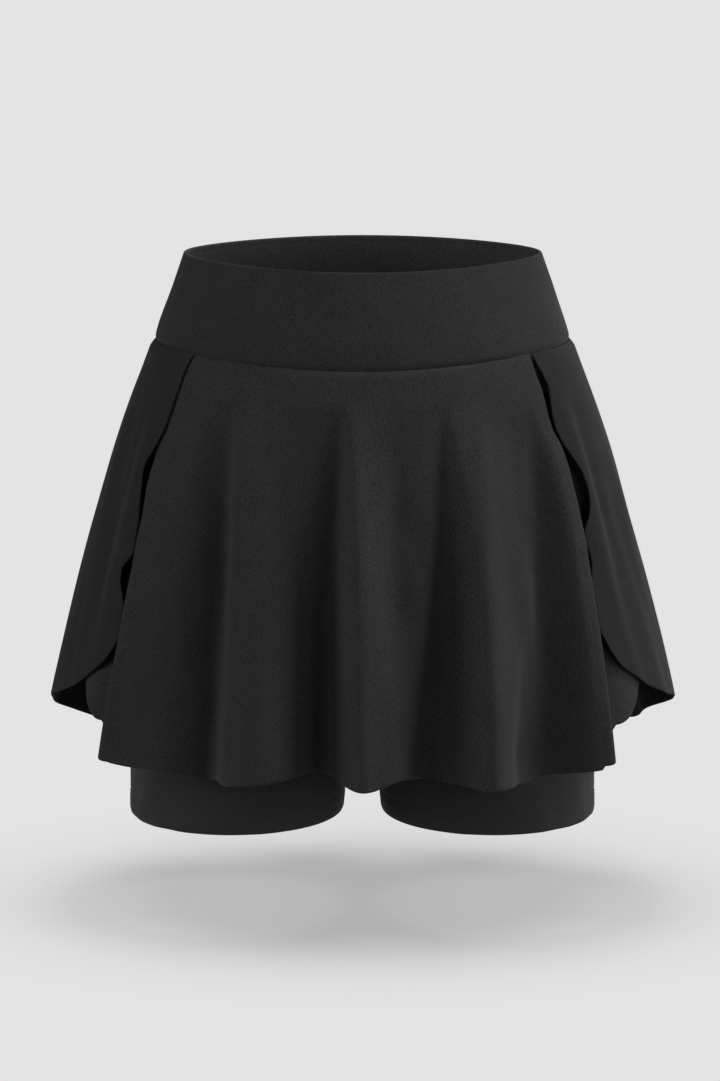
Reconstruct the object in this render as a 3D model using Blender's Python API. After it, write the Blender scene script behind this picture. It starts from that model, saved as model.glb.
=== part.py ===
"""Tennis skort: a wide waistband, a flared skirt of two lapped panels, and close shorts under it.

The garment stands as it is worn, hollow and open. The origin lies in the middle of the waist,
halfway up the waistband. The front faces -Y and +Z is up. Right and left are as seen from the
front, so +X is right. Every length is in metres. A drop is a depth below the waistband's top
edge. An angle goes round the body in degrees: 0 at the centre front, 90 at the right side, 180
at the centre back.
"""
import bpy
import numpy as np

# ---- driving dimensions -------------------------------------------------------------------
TOP_Z = 0.0330             # height of the waistband's top edge above the origin
TOP_DIP = 0.0020           # the top edge is this much lower at the centre front
SEAM_DROP = 0.0625         # drop of the waist seam at the sides
SEAM_DIP_FRONT = 0.0065    # the seam hangs this much lower at the centre front
SEAM_DIP_BACK = 0.0020     # and this much lower at the centre back
SEAM_GAP = 0.0003          # pieces stand this far apart where they are sewn together

BAND_WALL = 0.0024         # doubled cloth of the waistband
SKIRT_WALL = 0.0012        # single cloth of the skirt
SHORTS_WALL = 0.0012       # single cloth of the shorts

SHORTS_INSET = 0.0016      # the shorts start this far inside the waistband's face
SHOULDER_TUCK = 0.0014     # past the slits the back panel starts this much further in
SHOULDER_DROP = 0.0050     # and reaches its full width this far below the seam
LAP_INSET = 0.0018         # the front panel starts this far inside the back panel's face
SLIT_LEAST_GAP = 0.0014    # the panels' edges stay this far apart down the slits,
LAPPED_SINK = 0.0020       # except where the sink is less and the panels lap flat

EDGE_ANGLE = 53.0          # about where the slits lie, from the centre front
EDGE_BLEND = 0.2           # the flat rises to the turned edge over this share of its half
STRIP_END_ANGLE = 67.0     # the front panel's side strip ends here, under the back panel
STRIP_END_DROP = 0.2980    # drop of the side strip's rounded outer end
STRIP_RISE = 0.0260        # the hem rises this much round each turned edge
STRIP_SINK = 0.0025        # the side strip hangs this far inside the back panel
STRIP_SINK_LENGTH = 0.0400 # reached this far below the seam
TURN_FULL_SINK = 0.0120    # depth of the slit at which the turned edge has its full plan
TUCK_SPREAD = 12.0         # degrees past the side strip over which the back panel is tucked in

CROTCH_DROP = 0.2750       # drop of the fork of the shorts
OUTER_RISE = 0.020         # how much higher a leg's tube starts at its outer side
LEG_HEM_DROP = 0.4070      # drop of the leg hems

# Rings round the body. The waistband and the shorts hug it, the skirt flares away from it.
RING = ("drop", "half_width", "front_depth", "back_depth", "pinch")
BODY_RINGS = (
    (0.0000, 0.1278, 0.1000, 0.0920, 0.20),
    (0.0300, 0.1380, 0.1095, 0.1000, 0.08),
    (0.0625, 0.1482, 0.1180, 0.1120, -0.02),
    (0.1000, 0.1510, 0.1190, 0.1200, -0.06),
    (0.1500, 0.1560, 0.1185, 0.1255, -0.08),
    (0.2100, 0.1620, 0.1145, 0.1230, -0.10),
    (0.2750, 0.1690, 0.1060, 0.1120, -0.10),
)
SKIRT_RINGS = (
    (0.0625, 0.1500, 0.1203, 0.1143, -0.02),
    (0.1000, 0.1637, 0.1290, 0.1240, -0.05),
    (0.1400, 0.1767, 0.1365, 0.1330, -0.08),
    (0.1900, 0.1905, 0.1435, 0.1420, -0.10),
    (0.2400, 0.2035, 0.1490, 0.1505, -0.12),
    (0.2900, 0.2158, 0.1535, 0.1580, -0.13),
    (0.3250, 0.2237, 0.1560, 0.1630, -0.13),
    (0.3850, 0.2340, 0.1600, 0.1700, -0.13),
)

# Large folds, as crest and trough lines down a panel. A line's height above the ring grows from
# nothing at the first of the panel's fold drops; the columns give its angle and height at the
# rest. The first and last lines are the panel's edges, whose angles come from the slits.
FOLD = ("upper_angle", "middle_angle", "hem_angle", "upper_height", "middle_height", "hem_height")
FRONT_FOLD_DROPS = (0.094, 0.150, 0.240, 0.350)
FRONT_FOLDS = (
    (-52.0, -52.0, -52.0, -0.0005, -0.0005, -0.0025),
    (-43.7, -42.6, -40.6, -0.0015, -0.0058, -0.0070),
    (-34.0, -31.4, -30.0, -0.0130, -0.0235, -0.0260),
    (-28.3, -26.0, -24.4, 0.0070, 0.0090, 0.0080),
    (-21.1, -19.6, -17.6, 0.0005, 0.0080, 0.0175),
    (-15.4, -14.7, -13.7, -0.0050, 0.0015, 0.0070),
    (-11.4, -11.3, -11.0, -0.0050, -0.0122, -0.0110),
    (-5.7, -7.2, -7.8, -0.0125, -0.0240, -0.0300),
    (-2.1, -0.8, 0.0, 0.0100, 0.0165, 0.0170),
    (3.2, 2.8, 2.7, 0.0020, 0.0090, 0.0120),
    (7.7, 7.1, 6.1, -0.0045, -0.0035, 0.0060),
    (14.5, 12.5, 9.2, -0.0035, -0.0080, -0.0125),
    (20.0, 17.3, 11.8, -0.0080, -0.0220, -0.0295),
    (22.5, 21.0, 17.6, 0.0055, 0.0015, -0.0085),
    (27.1, 24.4, 22.6, 0.0075, 0.0168, 0.0230),
    (32.9, 30.5, 26.5, -0.0005, 0.0010, 0.0105),
    (39.4, 36.5, 30.9, -0.0085, -0.0090, -0.0215),
    (43.6, 40.6, 36.8, -0.0085, -0.0178, -0.0285),
    (50.0, 50.0, 49.0, 0.0030, 0.0020, -0.0030),
)
BACK_FOLD_DROPS = (0.094, 0.170, 0.240, 0.380)
BACK_FOLDS = (
    (53.0, 53.0, 53.0, 0.0, 0.0, 0.0),
    (60.0, 60.0, 60.0, 0.0012, 0.0010, 0.0005),
    (68.0, 68.0, 68.0, 0.0, 0.0, 0.0),
    (81.0, 81.0, 82.0, 0.0015, 0.0015, 0.0015),
    (96.0, 97.0, 97.0, 0.0010, 0.0025, 0.0030),
    (108.0, 109.0, 109.0, -0.0030, -0.0060, -0.0080),
    (118.0, 118.0, 119.0, 0.0020, 0.0040, 0.0030),
    (130.0, 130.0, 130.0, 0.0045, 0.0125, 0.0160),
    (142.0, 142.0, 142.0, -0.0085, -0.0170, -0.0230),
    (153.0, 154.0, 153.0, 0.0060, 0.0140, 0.0220),
    (164.0, 163.0, 162.0, 0.0045, 0.0140, 0.0205),
    (174.0, 174.0, 175.0, -0.0090, -0.0200, -0.0245),
    (183.0, 185.0, 187.0, 0.0060, 0.0155, 0.0220),
    (191.0, 193.0, 196.0, 0.0015, 0.0125, 0.0205),
    (207.0, 207.0, 208.0, -0.0085, -0.0170, -0.0220),
    (216.0, 216.0, 217.0, 0.0045, 0.0110, 0.0175),
    (230.0, 230.0, 229.0, 0.0050, 0.0125, 0.0175),
    (243.0, 243.0, 243.0, -0.0035, -0.0070, -0.0100),
    (257.0, 256.0, 256.0, 0.0015, 0.0030, 0.0030),
    (271.0, 271.0, 271.0, 0.0015, 0.0020, 0.0015),
    (285.0, 285.0, 285.0, 0.0005, 0.0005, 0.0005),
    (292.0, 292.0, 292.0, 0.0, 0.0, 0.0),
    (299.0, 299.0, 299.0, 0.0015, 0.0010, 0.0005),
    (307.0, 307.0, 307.0, 0.0, 0.0, 0.0),
)

# Slits: the angles of the front panel's turned edge and of the back panel's edge, how far the
# turned edge stands out, and how far it sinks in behind the slit.
SLIT = ("drop", "fold_right", "fold_left", "edge_right", "edge_left",
        "rise_right", "rise_left", "sink_right", "sink_left")
SLITS = (
    (0.0625, 52.6, 56.0, 52.9, 52.6, 0.0000, 0.0000, 0.0000, 0.0000),
    (0.0800, 53.2, 56.5, 55.2, 54.4, 0.0003, -0.0005, 0.0045, 0.0008),
    (0.1000, 53.2, 57.4, 54.6, 55.0, 0.0006, -0.0005, 0.0080, 0.0010),
    (0.1160, 53.2, 57.7, 53.9, 55.7, 0.0010, -0.0004, 0.0080, 0.0012),
    (0.1320, 54.5, 57.8, 56.3, 57.7, 0.0018, 0.0000, 0.0130, 0.0019),
    (0.1500, 54.8, 57.3, 59.4, 58.8, 0.0025, 0.0023, 0.0175, 0.0090),
    (0.1680, 54.8, 56.5, 59.3, 57.5, 0.0030, 0.0033, 0.0175, 0.0090),
    (0.1860, 54.6, 56.0, 56.0, 56.1, 0.0035, 0.0046, 0.0130, 0.0085),
    (0.2050, 54.1, 55.6, 55.9, 56.2, 0.0042, 0.0046, 0.0120, 0.0110),
    (0.2200, 53.8, 55.4, 54.8, 58.5, 0.0047, 0.0043, 0.0115, 0.0135),
    (0.2400, 53.4, 55.3, 53.6, 55.7, 0.0055, 0.0055, 0.0090, 0.0090),
    (0.3000, 52.5, 55.0, 52.5, 55.0, 0.0058, 0.0060, 0.0060, 0.0060),
    (0.3850, 51.6, 55.3, 51.6, 55.3, 0.0055, 0.0055, 0.0060, 0.0060),
)

# The turned edge of the front panel in plan, from the flat of the panel to the side strip: how
# far along the ring from the edge, and the shares of the slit's rise and of its sink.
TURN = ("along", "rise_share", "sink_share")
TURN_POINTS = (
    (-0.0200, 0.15, 0.00),
    (-0.0110, 0.60, 0.00),
    (-0.0035, 1.00, 0.00),
    (0.0010, 0.90, -0.02),
    (0.0010, 0.00, -0.30),
    (-0.0020, 0.00, -0.70),
    (-0.0030, 0.00, -1.00),
    (0.0020, 0.00, -1.05),
    (0.0100, 0.00, -0.80),
    (0.0200, 0.00, -0.40),
)

# Hems: how far down each panel is cut, at angles from the centre front.
FRONT_HEM = ("angle", "drop")
FRONT_HEM_ROWS = (
    (-56.0, 0.3475),
    (-48.0, 0.3512),
    (-36.0, 0.3550),
    (-31.0, 0.3595),
    (-26.0, 0.3565),
    (-17.0, 0.3515),
    (-8.0, 0.3505),
    (-3.5, 0.3550),
    (2.0, 0.3557),
    (6.5, 0.3510),
    (12.0, 0.3560),
    (25.0, 0.3560),
    (32.0, 0.3620),
    (39.0, 0.3585),
    (46.0, 0.3552),
    (53.0, 0.3510),
)
BACK_HEM = ("angle", "right_drop", "left_drop")
BACK_HEM_ROWS = (
    (53.0, 0.2520, 0.2480),
    (56.6, 0.2745, 0.2710),
    (64.0, 0.2935, 0.2915),
    (78.0, 0.3130, 0.3115),
    (90.0, 0.3230, 0.3220),
    (105.0, 0.3400, 0.3400),
    (120.0, 0.3590, 0.3590),
    (135.0, 0.3700, 0.3700),
    (155.0, 0.3780, 0.3780),
    (180.0, 0.3810, 0.3810),
)

# A leg of the shorts below the fork: its middle and half sizes.
LEG = ("drop", "middle_x", "middle_y", "half_width", "half_depth")
LEG_RINGS = (
    (0.2750, 0.0845, 0.0030, 0.0843, 0.1040),
    (0.3200, 0.0862, 0.0015, 0.0820, 0.0950),
    (0.3650, 0.0885, 0.0005, 0.0790, 0.0885),
    (0.4070, 0.0907, 0.0000, 0.0768, 0.0855),
)
FORK_START_DROP = 0.1500   # the shorts' front and back seams start to curve under here
FORK_MIDDLE_Y = 0.0080     # the fork's place between front and back

# ---- how finely each piece is divided -------------------------------------------------------
BAND_ROUND = 56
BAND_ROWS = 4
FRONT_EACH = 3             # columns from one fold line of the front panel to the next
FRONT_TURN = 10            # columns round each turned edge
FRONT_STRIP = 4            # columns on each side strip
FRONT_ROWS = 15
BACK_EACH = 3              # columns from one fold line of the back panel to the next
BACK_ROWS = 15
BACK_FIRST_ROW = 0.02      # share of the back panel above its second row
LEG_ROUND = 36
LEG_ROWS_ABOVE = 7
LEG_ROWS_BELOW = 4

# ---- colours ----------------------------------------------------------------------------------
CHARCOAL = (0.020, 0.020, 0.020, 1.0)
CHARCOAL_INSIDE = (0.014, 0.014, 0.014, 1.0)
KNIT_ROUGHNESS = 0.85
SHORTS_ROUGHNESS = 0.80


def smooth(table, names, name, at):
    """Read a table's column as a smooth curve through its rows."""
    rows = np.array(table)
    x = rows[:, 0]
    y = rows[:, names.index(name)]
    slope = np.gradient(y, x)
    at = np.clip(at, x[0], x[-1])
    i = np.clip(np.searchsorted(x, at) - 1, 0, len(x) - 2)
    span = x[i + 1] - x[i]
    t = (at - x[i]) / span
    start = (1 + 2 * t) * (1 - t) ** 2 * y[i] + t * (1 - t) ** 2 * span * slope[i]
    end = t ** 2 * (3 - 2 * t) * y[i + 1] - t ** 2 * (1 - t) * span * slope[i + 1]
    return start + end


def on_ring(rings, drop, angle, out):
    """Point in plan at an angle round a ring, moved outwards; its depth differs front and back."""
    turn = np.radians(angle)
    s, c = np.sin(turn), np.cos(turn)
    width = smooth(rings, RING, "half_width", drop)
    depth = np.where(c > 0, smooth(rings, RING, "front_depth", drop),
                     smooth(rings, RING, "back_depth", drop))
    pinch = smooth(rings, RING, "pinch", drop)
    x = width * s
    y = -depth * c * (1 - pinch * s ** 2)
    along_x = width * c
    along_y = depth * s * (1 - pinch * s ** 2 + 2 * pinch * c ** 2)
    length = np.hypot(along_x, along_y)
    return x + out * along_y / length, y - out * along_x / length


def arc_rate(rings, drop, angle):
    """Length along the ring for one degree of angle."""
    x0, y0 = on_ring(rings, drop, angle - 0.5, 0.0)
    x1, y1 = on_ring(rings, drop, angle + 0.5, 0.0)
    return np.hypot(x1 - x0, y1 - y0)


def seam_drop(angle):
    """Drop of the waist seam, which hangs lower at the centre front and back."""
    c = np.cos(np.radians(angle))
    dip = np.where(c > 0, SEAM_DIP_FRONT, SEAM_DIP_BACK)
    return SEAM_DROP + dip * c ** 4


def slit_at(name, side, drop):
    """Read a column of the slits' table on one side, 1 for right and -1 for left."""
    rows = np.array(SLITS)
    column = SLIT.index(name + ("_right" if side > 0 else "_left"))
    return np.interp(drop, rows[:, 0], rows[:, column])


def hang(lines, fold_drops, drop, start, end, each):
    """Angles and heights of a panel's columns, which run down its fold lines and between them."""
    rows = np.array(lines)
    station = np.arange(each * (len(rows) - 1) + 1) / each
    before = np.minimum(station.astype(int), len(rows) - 2)
    share = station - before
    grown = [np.clip((drop - a) / (b - a), 0.0, 1.0) for a, b in zip(fold_drops, fold_drops[1:])]

    def line(i):
        upper, middle, hem, upper_height, middle_height, hem_height = (
            rows[i, FOLD.index(name)] for name in FOLD)
        angle = upper + (middle - upper) * grown[1] + (hem - middle) * grown[2]
        angle = np.where(i == 0, start, np.where(i == len(rows) - 1, end, angle))
        height = (upper_height * grown[0] + (middle_height - upper_height) * grown[1]
                  + (hem_height - middle_height) * grown[2])
        return angle, height

    angle, height = line(before)
    next_angle, next_height = line(before + 1)
    eased = share ** 2 * (3 - 2 * share)
    return angle + (next_angle - angle) * share, height + (next_height - height) * eased


def facing(points, closed_from):
    """Unit normals of a grid of points. Rows from closed_from on are rings."""
    across = np.gradient(points, axis=1)
    ring = points[closed_from:, :-1]
    round_ring = np.roll(ring, -1, axis=1) - np.roll(ring, 1, axis=1)
    across[closed_from:] = np.concatenate([round_ring, round_ring[:, :1]], axis=1)
    normal = np.cross(np.gradient(points, axis=0), across)
    return normal / np.linalg.norm(normal, axis=2, keepdims=True)


def wall_mesh(name, outer, inner, closed_from):
    """Closed wall between two grids. Rows from closed_from on are joined into a ring."""
    rows, columns = outer.shape[:2]
    verts = np.concatenate([outer.reshape(-1, 3), inner.reshape(-1, 3)])
    index = np.arange(rows * columns).reshape(rows, columns)
    index[closed_from:, -1] = index[closed_from:, 0]
    shift = rows * columns
    faces = []

    def quad(a, b, c, d):
        faces.append((a, b, c))
        faces.append((a, c, d))

    for i in range(rows - 1):
        for j in range(columns - 1):
            a, b = index[i, j], index[i, j + 1]
            c, d = index[i + 1, j + 1], index[i + 1, j]
            quad(a, d, c, b)
            faces.append((a + shift, c + shift, d + shift))
            faces.append((a + shift, b + shift, c + shift))
    for j in range(columns - 1):
        quad(index[0, j], index[0, j + 1], index[0, j + 1] + shift, index[0, j] + shift)
        quad(index[-1, j + 1], index[-1, j], index[-1, j] + shift, index[-1, j + 1] + shift)
    for i in range(min(closed_from, rows - 1)):
        quad(index[i + 1, 0], index[i, 0], index[i, 0] + shift, index[i + 1, 0] + shift)
        quad(index[i, -1], index[i + 1, -1], index[i + 1, -1] + shift, index[i, -1] + shift)

    used = np.unique(np.array(faces))
    renumber = np.full(len(verts), -1)
    renumber[used] = np.arange(len(used))
    mesh = bpy.data.meshes.new(name)
    mesh.from_pydata(verts[used].tolist(), [], renumber[np.array(faces)].tolist())
    mesh.validate()
    mesh.shade_smooth()
    return mesh


def cloth(name, colour, roughness):
    """Matte stretch knit."""
    material = bpy.data.materials.new(name)
    material.use_nodes = True
    shader = material.node_tree.nodes["Principled BSDF"]
    shader.inputs["Base Color"].default_value = colour
    shader.inputs["Roughness"].default_value = roughness
    shader.inputs["Metallic"].default_value = 0.0
    return material


def add_piece(name, mesh, material):
    """Put a finished mesh in the scene under its own name."""
    mesh.materials.append(material)
    piece = bpy.data.objects.new(name, mesh)
    bpy.context.scene.collection.objects.link(piece)
    return piece


def make_waistband():
    """Doubled strip round the waist, its two ends meeting at the centre back."""
    half_gap = np.degrees(SEAM_GAP / 2 / BODY_RINGS[0][1])
    angle = np.linspace(-180.0 + half_gap, 180.0 - half_gap, BAND_ROUND + 1)[None, :]
    row = np.linspace(0.0, 1.0, BAND_ROWS + 1)[:, None]
    top = TOP_DIP * np.maximum(np.cos(np.radians(angle)), 0.0) ** 2
    bottom = seam_drop(angle) - SEAM_GAP / 2
    drop = top + row * (bottom - top)
    angle = angle + 0 * drop

    def face(out):
        x, y = on_ring(BODY_RINGS, drop, angle, out)
        return np.stack([x, y, TOP_Z - drop], axis=2)

    mesh = wall_mesh("waistband", face(0.0), face(-BAND_WALL), BAND_ROWS + 1)
    return add_piece("waistband", mesh, cloth("waistband knit", CHARCOAL, KNIT_ROUGHNESS))


def turned_edge(share, rise, sink):
    """Plan of the front panel's turned edge, a smooth curve led by its points.

    Where the slit is shallow it is a slight step; where it is deep it folds back under itself.
    """
    points = np.array(TURN_POINTS)
    spans = len(points) - 3
    at = np.clip(share, 0.0, 1.0) * spans
    i = np.clip(at.astype(int), 0, spans - 1)
    t = (at - i)[..., None]
    curve = ((1 - t) ** 3 * points[i] + (3 * t ** 3 - 6 * t ** 2 + 4) * points[i + 1]
             + (1 + 3 * t + 3 * t ** 2 - 3 * t ** 3) * points[i + 2] + t ** 3 * points[i + 3]) / 6
    first = (points[0] + 4 * points[1] + points[2])[0] / 6
    last = (points[-3] + 4 * points[-2] + points[-1])[0] / 6
    even = first + share * (last - first)
    full = np.clip(sink / TURN_FULL_SINK, 0.0, 1.0) ** 0.5
    along, rise_share, sink_share = (curve[..., TURN.index(name)] for name in TURN)
    return even + full * (along - even), rise * rise_share + sink * sink_share


def front_panel():
    """Outer face of the front panel: a flat with large folds, and on each side a turned edge
    and a strip that laps under the back panel."""
    row = np.linspace(0.0, 1.0, FRONT_ROWS + 1)[:, None]

    def place(drop, angle, out):
        x, y = on_ring(SKIRT_RINGS, drop, angle, out - LAP_INSET)
        return np.stack([x, y, TOP_Z - drop], axis=2)

    def turn_at(side, drop, share):
        """Angle and height of the turned edge, counted away from the centre front."""
        fold = slit_at("fold", side, drop)
        along, out = turned_edge(share, slit_at("rise", side, drop), slit_at("sink", side, drop))
        return fold + along / arc_rate(SKIRT_RINGS, drop, fold), out

    def drops(angle, hem_drop):
        top = seam_drop(angle) + SEAM_GAP / 2
        return top + row * (hem_drop - top)

    def side_part(side, flat_height):
        """The turned edge, then the side strip, from the flat outwards."""
        hem = smooth(FRONT_HEM_ROWS, FRONT_HEM, "drop", side * EDGE_ANGLE)
        share = np.linspace(0.0, 1.0, FRONT_TURN + 1)[None, :]
        drop = drops(EDGE_ANGLE + 0 * share, hem - STRIP_RISE * share ** 2)
        angle, out = turn_at(side, drop, share + 0 * row)
        turn = place(drop, side * angle, out + flat_height * (1 - share) ** 3)

        last_angle, last_out = angle[:, -1:], out[:, -1:]
        share = np.linspace(0.0, 1.0, FRONT_STRIP + 1)[None, 1:]
        hem = hem - STRIP_RISE
        middle_angle = (EDGE_ANGLE + STRIP_END_ANGLE) / 2
        drop = drops(middle_angle + 0 * share, hem + (STRIP_END_DROP - hem) * share ** 2)
        angle = last_angle + share * (STRIP_END_ANGLE - last_angle)
        sunk = np.clip((drop - SEAM_DROP) / STRIP_SINK_LENGTH, 0.0, 1.0)
        strip = place(drop, side * angle, last_out * (1 - share) ** 3 - STRIP_SINK * sunk * share)
        return np.concatenate([turn, strip], axis=1)

    columns = FRONT_EACH * (len(FRONT_FOLDS) - 1) + 1
    angle = np.linspace(-EDGE_ANGLE, EDGE_ANGLE, columns)[None, :] + 0 * row
    for _ in range(3):
        drop = drops(angle, smooth(FRONT_HEM_ROWS, FRONT_HEM, "drop", angle))
        right_end, right_out = turn_at(1, drop, 0 * drop)
        left_end, left_out = turn_at(-1, drop, 0 * drop)
        angle, height = hang(FRONT_FOLDS, FRONT_FOLD_DROPS, drop, -left_end, right_end, FRONT_EACH)
    across = angle / np.where(angle > 0, right_end, left_end)
    near_edge = np.clip((abs(across) - 1 + EDGE_BLEND) / EDGE_BLEND, 0.0, 1.0) ** 2
    flat = place(drop, angle, np.where(angle > 0, right_out, left_out) * near_edge + height)
    left, right = side_part(-1, height[:, :1]), side_part(1, height[:, -1:])
    return np.concatenate([left[:, :0:-1], flat, right[:, 1:]], axis=1)


def back_panel():
    """Outer face of the back panel, from the right slit round the back to the left slit."""
    row = np.insert(np.linspace(0.0, 1.0, BACK_ROWS), 1, BACK_FIRST_ROW)[:, None]
    columns = BACK_EACH * (len(BACK_FOLDS) - 1) + 1
    angle = np.linspace(EDGE_ANGLE, 360.0 - EDGE_ANGLE, columns)[None, :] + 0 * row
    for _ in range(3):
        turn = np.minimum(angle, 360.0 - angle)
        right_hem = smooth(BACK_HEM_ROWS, BACK_HEM, "right_drop", turn)
        left_hem = smooth(BACK_HEM_ROWS, BACK_HEM, "left_drop", turn)
        top = seam_drop(angle) + SEAM_GAP / 2
        drop = top + row * (np.where(angle < 180.0, right_hem, left_hem) - top)
        rate = arc_rate(SKIRT_RINGS, drop, EDGE_ANGLE + 0 * drop)
        edges = []
        for side in (1, -1):
            edge, fold = slit_at("edge", side, drop), slit_at("fold", side, drop)
            lapped = slit_at("sink", side, drop) < LAPPED_SINK
            edges.append(np.where(lapped, edge, np.maximum(edge, fold + SLIT_LEAST_GAP / rate)))
        angle, height = hang(BACK_FOLDS, BACK_FOLD_DROPS, drop, edges[0], 360.0 - edges[1], BACK_EACH)
    past_slit = np.clip((np.minimum(angle, 360.0 - angle) - STRIP_END_ANGLE) / TUCK_SPREAD, 0.0, 1.0)
    tucked = np.clip(1.0 - (drop - top) / SHOULDER_DROP, 0.0, 1.0)
    out = height - SHOULDER_TUCK * tucked * past_slit
    x, y = on_ring(SKIRT_RINGS, drop, angle, out)
    return np.stack([x, y, TOP_Z - drop], axis=2)


def leg_panel():
    """Outer face of the right leg: half a ring of the hips that closes into a tube below."""
    share = np.linspace(0.0, 1.0, LEG_ROUND + 1)[None, :]
    above = np.linspace(0.0, 1.0, LEG_ROWS_ABOVE + 1)[:, None]
    below = np.linspace(0.0, 1.0, LEG_ROWS_BELOW + 1)[1:, None]
    inner = abs(2 * share - 1) ** 3
    top = seam_drop(180.0 * share) + SEAM_GAP / 2
    upper_end = CROTCH_DROP - OUTER_RISE * (1 - inner)
    drop = np.concatenate([top + above * (upper_end - top),
                           upper_end + below * (LEG_HEM_DROP - upper_end)])
    hip_x, hip_y = on_ring(BODY_RINGS, drop, 180.0 * share + 0 * drop, -SHORTS_INSET)
    turn = 2 * np.pi * share
    leg = [smooth(LEG_RINGS, LEG, name, drop) for name in LEG[1:]]
    leg_x = leg[0] - leg[2] * np.cos(turn)
    leg_y = leg[1] - leg[3] * np.sin(turn) + FORK_MIDDLE_Y * inner
    blend = np.clip((drop - FORK_START_DROP) / (upper_end - FORK_START_DROP), 0.0, 1.0)
    blend = blend ** 2 * (3 - 2 * blend)
    x = hip_x + blend * (leg_x - hip_x)
    y = hip_y + blend * (leg_y - hip_y)
    return np.stack([np.maximum(x, SEAM_GAP / 2), y, TOP_Z - drop], axis=2)


def make_skirt():
    """The two skirt panels."""
    for name, outer in (("skirt_front", front_panel()), ("skirt_back", back_panel())):
        inner = outer - SKIRT_WALL * facing(outer, len(outer))
        mesh = wall_mesh(name, outer, inner, len(outer))
        add_piece(name, mesh, cloth(name + " knit", CHARCOAL, KNIT_ROUGHNESS))


def make_shorts():
    """The two legs, mirror images that meet at the centre front and back."""
    right = leg_panel()
    closed_from = LEG_ROWS_ABOVE
    inner = right - SHORTS_WALL * facing(right, closed_from)
    inner[..., 0] = np.maximum(inner[..., 0], SEAM_GAP / 2)
    flip = np.array((-1.0, 1.0, 1.0))
    knit = cloth("shorts knit", CHARCOAL_INSIDE, SHORTS_ROUGHNESS)
    add_piece("shorts_right", wall_mesh("shorts_right", right, inner, closed_from), knit)
    left = wall_mesh("shorts_left", right[:, ::-1] * flip, inner[:, ::-1] * flip, closed_from)
    add_piece("shorts_left", left, knit)


def main():
    """Make every piece in an empty scene."""
    for old in list(bpy.data.objects):
        bpy.data.objects.remove(old, do_unlink=True)
    make_waistband()
    make_skirt()
    make_shorts()


main()
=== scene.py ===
import math

import bmesh
import bpy
import numpy as np
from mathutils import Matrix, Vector


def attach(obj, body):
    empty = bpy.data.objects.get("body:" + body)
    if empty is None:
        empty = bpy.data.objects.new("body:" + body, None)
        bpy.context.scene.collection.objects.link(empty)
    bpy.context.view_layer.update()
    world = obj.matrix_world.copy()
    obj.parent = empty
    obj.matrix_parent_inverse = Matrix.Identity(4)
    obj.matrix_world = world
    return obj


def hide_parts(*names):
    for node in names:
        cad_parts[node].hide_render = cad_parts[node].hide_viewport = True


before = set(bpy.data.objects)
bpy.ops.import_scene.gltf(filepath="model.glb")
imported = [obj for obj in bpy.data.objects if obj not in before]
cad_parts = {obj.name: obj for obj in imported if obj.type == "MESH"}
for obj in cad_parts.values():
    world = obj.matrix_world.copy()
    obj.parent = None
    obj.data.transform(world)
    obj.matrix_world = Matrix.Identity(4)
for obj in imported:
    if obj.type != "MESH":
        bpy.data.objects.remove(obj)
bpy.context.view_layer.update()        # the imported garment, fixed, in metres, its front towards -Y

scene = bpy.context.scene
print("solids loaded:", ", ".join(sorted(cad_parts)))

cameraView = {
    "position": (-0.0017, -4.0, 0.5596),
    "lookDown": 10.43,       # degrees below level
    "lens": 188.2,
    "sensor": 36.0,          # along the frame's long side
}

cameraData = bpy.data.cameras.new("view")
cameraData.sensor_width = cameraView["sensor"]
cameraData.lens = cameraView["lens"]
cameraObject = bpy.data.objects.new("view", cameraData)
cameraObject.location = cameraView["position"]
cameraObject.rotation_euler = (math.radians(90.0 - cameraView["lookDown"]), 0.0, 0.0)
scene.collection.objects.link(cameraObject)
scene.camera = cameraObject

# Places on the cloth are a drop, in metres below the waistband's top edge, and an angle round the
# body in degrees: 0 at the centre front, 90 at the wearer's left (+X), 180 at the centre back.
garment = {
    "topHeight": 0.0330,      # the waistband's top edge above the origin
    "topDip": 0.0020,         # how much lower the top edge is at the centre front
    "seamDrop": 0.0625,
    "seamDipFront": 0.0065,
    "seamDipBack": 0.0020,
    "seamGap": 0.0003,
    # drop, half width, front depth, back depth, pinch between front and side
    "bodyRings": [
        (0.0000, 0.1278, 0.1000, 0.0920, 0.20),
        (0.0300, 0.1380, 0.1095, 0.1000, 0.08),
        (0.0625, 0.1482, 0.1180, 0.1120, -0.02),
        (0.1000, 0.1510, 0.1190, 0.1200, -0.06),
        (0.1500, 0.1560, 0.1185, 0.1255, -0.08),
        (0.2100, 0.1620, 0.1145, 0.1230, -0.10),
        (0.2750, 0.1690, 0.1060, 0.1120, -0.10),
    ],
    "skirtRings": [
        (0.0625, 0.1500, 0.1203, 0.1143, -0.02),
        (0.1000, 0.1637, 0.1290, 0.1240, -0.05),
        (0.1400, 0.1767, 0.1365, 0.1330, -0.08),
        (0.1900, 0.1905, 0.1435, 0.1420, -0.10),
        (0.2400, 0.2035, 0.1490, 0.1505, -0.12),
        (0.2900, 0.2158, 0.1535, 0.1580, -0.13),
        (0.3250, 0.2237, 0.1560, 0.1630, -0.13),
        (0.3850, 0.2340, 0.1600, 0.1700, -0.13),
    ],
}


# A table's column as a curve: each span is a cubic whose end slopes come from the rows beside it.
def readTable(rows, column, at):
    rows = np.array(rows, dtype=float)
    x, y = rows[:, 0], rows[:, column]
    slope = np.gradient(y, x)
    at = np.clip(at, x[0], x[-1])
    i = np.clip(np.searchsorted(x, at) - 1, 0, len(x) - 2)
    span = x[i + 1] - x[i]
    t = (at - x[i]) / span
    begin = (1 + 2 * t) * (1 - t) ** 2 * y[i] + t * (1 - t) ** 2 * span * slope[i]
    end = t ** 2 * (3 - 2 * t) * y[i + 1] - t ** 2 * (1 - t) * span * slope[i + 1]
    return begin + end


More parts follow.
